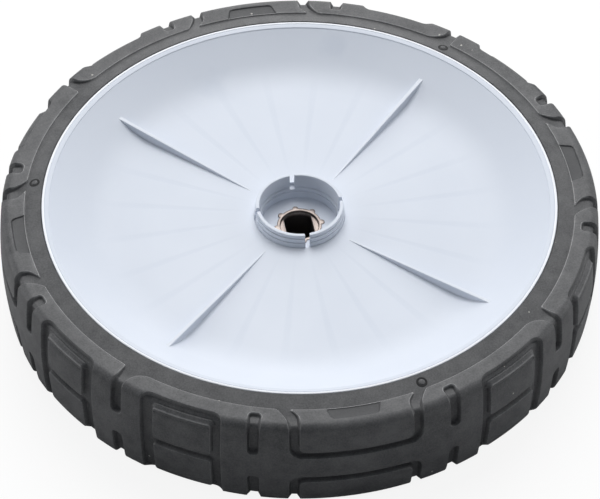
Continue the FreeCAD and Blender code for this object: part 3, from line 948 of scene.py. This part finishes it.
# Rim: the turned body, the slotted collar, the fins on the dish and the ribs behind it
def makeRimBody():
    c = collar
    seatRadius = rimRadius - rim["seatDrop"]
    lipRadius = rimRadius - rim["lipGap"]
    lipInside = rimRadius - rim["lipFace"]
    beadInside = rimRadius - rim["bead"]
    (footIn, footDown), (sideIn, sideDown) = rim["grooveFoot"], rim["grooveSide"]
    seat = faceHeight - rim["lipHeight"]
    crown = dishFloor + rim["dishCrown"]
    cupLine = collarTop - c["cupLine"]
    lineRadius = c["cupRadius"] + c["lineDepth"]
    lowCup = c["cupRadius"] - c["cupStep"]
    underFoot = dishFoot + rim["underShift"]
    section = roundedLine([
        (seatRadius, seat, 0.0),
        (lipRadius, seat, 0.0),
        (lipRadius, faceHeight, 0.45),
        (beadInside, faceHeight, 0.12),
        (beadInside - footIn, faceHeight - footDown, 0.0),
        (beadInside - sideIn, faceHeight - sideDown, 0.08),
        (lipInside, faceHeight - rim["lipFall"], 0.3),
        (lipInside - rim["lipLean"], wallTop, 0.1),
        (dishFoot, dishFloor, rim["dishBlend"]),
        (c["rootRadius"] + c["footWidth"], crown, 0.5),
        (c["rootRadius"], crown + c["footRise"], 0.2),
        (c["rootRadius"], slotFloor, 0.15),
        (c["cupRadius"], slotFloor, 0.15),
        (c["cupRadius"], cupLine + c["lineRise"], 0.05),
        (lineRadius, cupLine, 0.0),
        (lineRadius, cupLine - c["lineWidth"], 0.0),
        (lowCup, cupLine - c["lineWidth"] - c["lineFoot"], 0.05),
        (lowCup, cupFloor, 0.15),
        (rim["bushSeat"], cupFloor, 0.0),
        (rim["bushSeat"], insertEnd, 0.0),
        (rim["bossRadius"], insertEnd, 0.8),
        (rim["bossRadius"], hubBottom, 0.4),
        (rim["hubRadius"], hubBottom, 0.8),
        (rim["hubRadius"], underFloor, 1.5),
        (underFoot, underFloor, rim["dishBlend"]),
        (barrelInside, underFloor + (barrelInside - underFoot) * dishTan, 2.0),
        (barrelInside, -faceHeight, 0.4),
        (rimRadius, -faceHeight, 0.5),
        (rimRadius, -seat, 0.0),
        (seatRadius, -seat, 0.0),
    ], True, 8.0)
    points, faces = turnedMesh(section, rim["segments"])
    piece = newPiece("rimBody", points, faces, plastic)
    tidyNormals(piece)

    def onBead(index, point):
        return point.z > faceHeight - 0.2 and math.hypot(point.x, point.y) > beadInside - 0.1

    # the lip's bead gets a painted highlight
    paintEdgeHighlight(piece, 1.0, onBead)
    sharpenEdges(piece, 40)
    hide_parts("rim")
    return piece


def makeCollar():
    # four quarters of the collar, with the slots between them along X and Y
    c = collar
    bottom = slotFloor - c["rootSink"]
    first, second = collarTop - c["firstLine"], collarTop - c["secondLine"]
    ledge = collarTop - c["socketDepth"]
    socketLine = ledge + c["lineFoot"]
    lineRadius = c["socketRadius"] + c["lineDepth"]
    section = roundedLine([
        (c["rootRadius"], bottom, 0.0),
        (c["rootRadius"], second - c["lineLip"], 0.1),
        (c["middleRadius"] - c["lineDepth"], second, 0.0),
        (c["middleRadius"], second + c["lineWidth"], 0.05),
        (c["middleRadius"], first - c["lineLip"], 0.1),
        (c["radius"] - c["lineDepth"], first, 0.0),
        (c["radius"], first + c["lineWidth"], 0.05),
        (c["radius"], collarTop, c["edge"]),
        (c["socketRadius"], collarTop, c["edge"]),
        (c["socketRadius"], socketLine + c["lineWidth"] + c["lineRise"], 0.05),
        (lineRadius, socketLine + c["lineWidth"], 0.0),
        (lineRadius, socketLine, 0.0),
        (c["socketRadius"], ledge, 0.05),
        (c["cupRadius"], ledge - c["ledgeFall"], 0.1),
        (c["cupRadius"], bottom, 0.0),
    ], True, 20.0)
    count, steps = len(section), c["slices"]
    middle = (c["radius"] + c["socketRadius"]) / 2
    # the first and last slices are drawn in, which rounds the slot's edges
    most, least = c["slotRound"]
    insets = {0: most, 1: least, steps - 1: least, steps: most}
    points, faces = [], []
    for quarter in range(4):
        offset = len(points)
        for k in range(steps + 1):
            inset = insets.get(k, 0.0)
            for r, z in section:
                half = math.asin(c["slotWidth"] / 2 / r)
                span = math.pi / 2 - 2 * half
                lead = c["slotLead"] / r
                along = {1: lead, steps - 1: span - lead}.get(k, span * k / steps)
                angle = quarter * math.pi / 2 + half + along
                radius = r - inset if r > middle else r + inset
                height = z - inset if z > collarTop - c["slotTop"] else z
                points.append((radius * math.cos(angle), radius * math.sin(angle), height))
        faces += ringFaces(offset, steps + 1, count) + endFaces(offset, steps + 1, count)
    piece = newPiece("hubCollar", points, faces, plastic)
    tidyNormals(piece)
    sharpenEdges(piece, 35)


fins = {
    "count": 4, "inside": 19.4, "drop": 6.0, "thickInside": 0.8, "thickOutside": 1.8,
    "edge": 0.2, "slices": 40,
    # how far a fin runs into the dish's wall, stands over its line, goes down into the dish and widens there
    "overlap": 0.3, "rise": 0.05, "root": 1.0, "foot": 0.25,
    "highlightShare": 0.25,
}


def makeFins():
    f = fins
    outside = dishFoot + (rim["dishDepth"] - f["drop"]) / dishTan + f["overlap"]
    points, faces = [], []
    for n in range(f["count"]):
        turn = math.radians(45 + 90 * n)
        c, s = math.cos(turn), math.sin(turn)
        offset = len(points)
        for k in range(f["slices"] + 1):
            share = k / f["slices"]
            r = f["inside"] + (outside - f["inside"]) * share
            floor = dishHeight(r)
            top = dishFloor + (faceHeight - f["drop"] - dishFloor) * share + f["rise"]
            root = floor - f["root"]
            half = (f["thickInside"] + (f["thickOutside"] - f["thickInside"]) * share) / 2
            foot = half + min(f["foot"], max(0.0, 0.5 * (top - floor)))
            low = min(floor + f["foot"], top - 0.02)
            lowest = min(floor, top - 0.03)
            e = min(f["edge"], max(0.0, top - low))
            side = [(foot, root), (foot, lowest), (half, low), (half, top - e), (half - e, top)]
            ring = [(-y, z) for y, z in side] + side[::-1]
            points += [(r * c - y * s, r * s + y * c, max(z, root)) for y, z in ring]
        count = len(ring)
        faces += ringFaces(offset, f["slices"] + 1, count) + endFaces(offset, f["slices"] + 1, count)
    piece = newPiece("dishFins", points, faces, plastic)
    tidyNormals(piece)
    # a slice's points 4 and 5 are its top, which gets a painted highlight
    paintEdgeHighlight(piece, f["highlightShare"], lambda index, point: index % count in (4, 5))
    sharpenEdges(piece, 35)


ribs = {
    "outerCount": 24, "innerCount": 8, "start": 13.5, "startBesideCup": 17.25, "thickness": 2.2,
    "ringRadius": 46.0, "ringSegments": 180, "depth": 11.0, "depthAtBoss": 17.0, "edge": 0.35,
    # how far the ribs go up into the web and out into the barrel
    "intoWeb": 0.8, "intoBarrel": 1.0,
}


def makeRibs():
    b = ribs
    half = b["thickness"] / 2
    lowest = underFloor - b["depth"]
    root = underFloor + b["intoWeb"]
    outside = barrelInside + b["intoBarrel"]
    besideCup = cupFloor - rim["cupWall"] / 2
    outerRib = [
        (b["ringRadius"], lowest), (outside, lowest), (outside, underFloor + (outside - dishFoot) * dishTan),
        (dishFoot, root), (b["ringRadius"], root)]
    innerRib = [
        (b["start"], underFloor - b["depthAtBoss"]), (b["ringRadius"], lowest), (b["ringRadius"], root),
        (b["startBesideCup"], root), (b["startBesideCup"], besideCup), (b["start"], besideCup)]
    bm = bmesh.new()
    for outline, number in ((outerRib, b["outerCount"]), (innerRib, b["innerCount"])):
        for n in range(number):
            turn = 2 * math.pi * n / number
            c, s = math.cos(turn), math.sin(turn)
            near, far = [
                [bm.verts.new((mm * (r * c - y * s), mm * (r * s + y * c), mm * z)) for r, z in outline]
                for y in (-half, half)]
            bm.faces.new(near)
            bm.faces.new(far[::-1])
            for i in range(len(outline)):
                j = (i + 1) % len(outline)
                bm.faces.new((near[j], near[i], far[i], far[j]))
    bmesh.ops.recalc_face_normals(bm, faces=bm.faces)
    bmesh.ops.bevel(bm, geom=bm.edges[:], offset=b["edge"] * mm, segments=2, profile=0.5, affect="EDGES")
    mesh = bpy.data.meshes.new("backRibs")
    bm.to_mesh(mesh)
    bm.free()
    piece = placeMesh(mesh, plastic)
    sharpenEdges(piece, 35)
    section = roundedLine([
        (b["ringRadius"] - half, lowest, b["edge"]), (b["ringRadius"] + half, lowest, b["edge"]),
        (b["ringRadius"] + half, root, 0.0), (b["ringRadius"] - half, root, 0.0)], True, 30.0)
    points, faces = turnedMesh(section, b["ringSegments"])
    ring = newPiece("backRing", points, faces, plastic)
    tidyNormals(ring)
    sharpenEdges(ring, 40)


rimBody = makeRimBody()
makeCollar()
makeFins()
makeRibs()
print("rim made: %d faces" % len(rimBody.data.polygons))


# Bush: knobbed outside, double-flat bore with a round counterbore
def makeBush():
    b = bush
    angles = np.arange(b["segments"]) * 2 * math.pi / b["segments"]

    def knobbed(inset):
        pitch = 2 * math.pi / b["knobCount"]
        off = (angles + pitch / 2) % pitch - pitch / 2
        reach = (b["knobRadius"] - inset) ** 2 - (b["radius"] * np.sin(off)) ** 2
        knob = b["radius"] * np.cos(off) + np.sqrt(np.clip(reach, 0, None))
        return np.where(reach > 0, np.maximum(knob, b["radius"] - inset), b["radius"] - inset)

    def bore(outset):
        flats = (b["halfFlats"] + outset) / np.maximum(np.abs(np.cos(angles)), 1e-6)
        return np.minimum(b["boreRadius"] + outset, flats)

    # each edge is rounded by one point between its two ends
    edge, mouth, small = b["edge"], b["mouthEdge"], b["smallEdge"]
    between = 0.3 * edge
    points, faces = turnedMesh([
        (knobbed(0), insertEnd),
        (knobbed(0), insertTop - edge),
        (knobbed(between), insertTop - between),
        (knobbed(edge), insertTop),
        (b["counterRadius"] + edge, insertTop),
        (b["counterRadius"] + between, insertTop - between),
        (b["counterRadius"], insertTop - edge),
        (b["counterRadius"], bushLedge + small),
        (b["counterRadius"] - small, bushLedge),
        (bore(mouth), bushLedge),
        (bore(small), bushLedge - small),
        (bore(0), bushLedge - mouth),
        (bore(0), insertEnd),
    ], b["segments"])
    piece = newPiece("driveBush", points, faces, metal)
    tidyNormals(piece)
    sharpenEdges(piece, 30)
    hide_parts("hub_insert")


makeBush()
print("bush made")

# Camera: fitted to the photo's rim ellipse; lengths in rim radii, measured from the rim's face on the axis
view = {
    "focal": 2907.5, "imageWidth": 600.0, "elevation": 47.03, "roll": 0.28,
    "distance": 11.245, "right": 0.0025, "up": -0.2044, "wheelTurn": 10.79,
    "sensor": 36.0, "clip": (0.05, 20.0),
}


def makeCamera():
    e, roll = math.radians(view["elevation"]), math.radians(view["roll"])
    back = Vector((0, -math.cos(e), math.sin(e)))
    right, up = Vector((1, 0, 0)), Vector((0, math.sin(e), math.cos(e)))
    place = back * view["distance"] + right * view["right"] + up * view["up"]
    rolledRight = right * math.cos(roll) + up * math.sin(roll)
    rolledUp = up * math.cos(roll) - right * math.sin(roll)
    turn = Matrix.Rotation(math.radians(-view["wheelTurn"]), 3, "Z")
    camera = bpy.data.cameras.new("photoCamera")
    camera.sensor_width = view["sensor"]
    camera.lens = view["focal"] / view["imageWidth"] * camera.sensor_width
    camera.dof.use_dof = False
    camera.clip_start, camera.clip_end = view["clip"]
    holder = linkObject("photoCamera", camera)
    bpy.context.scene.camera = holder
    axes = Matrix((turn @ rolledRight, turn @ rolledUp, turn @ back)).transposed()
    where = turn @ place * rimRadius * mm + Vector((0, 0, faceHeight * mm))
    holder.matrix_world = Matrix.Translation(where) @ axes.to_4x4()
    return turn


wheelTurn = makeCamera()

# Floor and light: a big soft lamp above and behind the wheel, a low one behind, two beside it and a dim sky
studio = {
    "floor": (0.6, 0.6, 0.6, 1), "floorSize": 6.0, "floorRoughness": 0.9, "floorWhite": 0.8, "floorGlow": 1.1,
    # where the floor's glow fades in, in wheel radii
    "glowFrom": (0.8, 0.9),
    "world": 0.22, "worldColour": (0.90, 0.95, 1.0, 1), "white": (1, 1, 1, 1),
    # name, power, size, turn from behind the wheel, elevation, distance
    "lamps": (
        ("softBack", 27.5, 1.5, 0.0, 60.0, 1.8), ("softLow", 6.5, 0.9, 0.0, 14.0, 1.5),
        ("softLeft", 7.5, 0.9, -78.0, 15.0, 1.5), ("softRight", 6.0, 0.9, 78.0, 15.0, 1.5),
    ),
}


def makeFloor():
    size = studio["floorSize"]
    z = -faceHeight * mm
    mesh = bpy.data.meshes.new("floor")
    corners = [(-size, -size, z), (size, -size, z), (size, size, z), (-size, size, z)]
    mesh.from_pydata(corners, [], [(0, 1, 2, 3)])
    floor = linkObject("floor", mesh)
    material, tree, shader = newMaterial("paleFloor")
    shader.inputs["Base Color"].default_value = studio["floor"]
    shader.inputs["Roughness"].default_value = studio["floorRoughness"]
    shader.inputs["Specular IOR Level"].default_value = 0.0
    # the camera sees the floor nearly white, with the wheel's shadow left in it
    path = addNode(tree, "ShaderNodeLightPath")
    fade = [share * wheelRadius * mm for share in studio["glowFrom"]]
    outside = mapped(tree, lengthOf(tree, objectPlace(tree)), 0.0, studio["floorWhite"], *fade)
    share = joined(tree, "MULTIPLY", path.outputs["Is Camera Ray"], outside)
    glow = addNode(tree, "ShaderNodeEmission", {"Color": studio["white"], "Strength": studio["floorGlow"]})
    mix = addNode(tree, "ShaderNodeMixShader", {0: share, 1: shader.outputs[0], 2: glow.outputs[0]})
    tree.links.new(mix.outputs[0], tree.nodes["Material Output"].inputs["Surface"])
    mesh.materials.append(material)


def makeSky():
    # dim light from all round, which the camera sees as white
    world = bpy.data.worlds.new("studio")
    bpy.context.scene.world = world
    world.use_nodes = True
    tree = world.node_tree
    tree.nodes.clear()
    seen = addNode(tree, "ShaderNodeLightPath").outputs["Is Camera Ray"]
    dim = {"Color": studio["worldColour"], "Strength": studio["world"]}
    soft = addNode(tree, "ShaderNodeBackground", dim)
    white = addNode(tree, "ShaderNodeBackground", {"Color": studio["white"], "Strength": 1.0})
    mix = addNode(tree, "ShaderNodeMixShader", {0: seen, 1: soft.outputs[0], 2: white.outputs[0]})
    addNode(tree, "ShaderNodeOutputWorld", {"Surface": mix.outputs[0]})


def makeLamps():
    for name, power, size, turn, elevation, distance in studio["lamps"]:
        lamp = bpy.data.lights.new(name, "AREA")
        lamp.shape = "DISK"
        lamp.size = size
        lamp.energy = power
        holder = linkObject(name, lamp)
        e, t = math.radians(elevation), math.radians(turn)
        way = Vector((math.cos(e) * math.sin(t), math.cos(e) * math.cos(t), math.sin(e)))
        holder.location = wheelTurn @ way * distance
        holder.rotation_mode = "QUATERNION"
        holder.rotation_quaternion = (-holder.location).to_track_quat("-Z", "Y")


makeFloor()
makeSky()
makeLamps()
bpy.context.scene.view_settings.view_transform = "Standard"
print("camera, floor and light made")
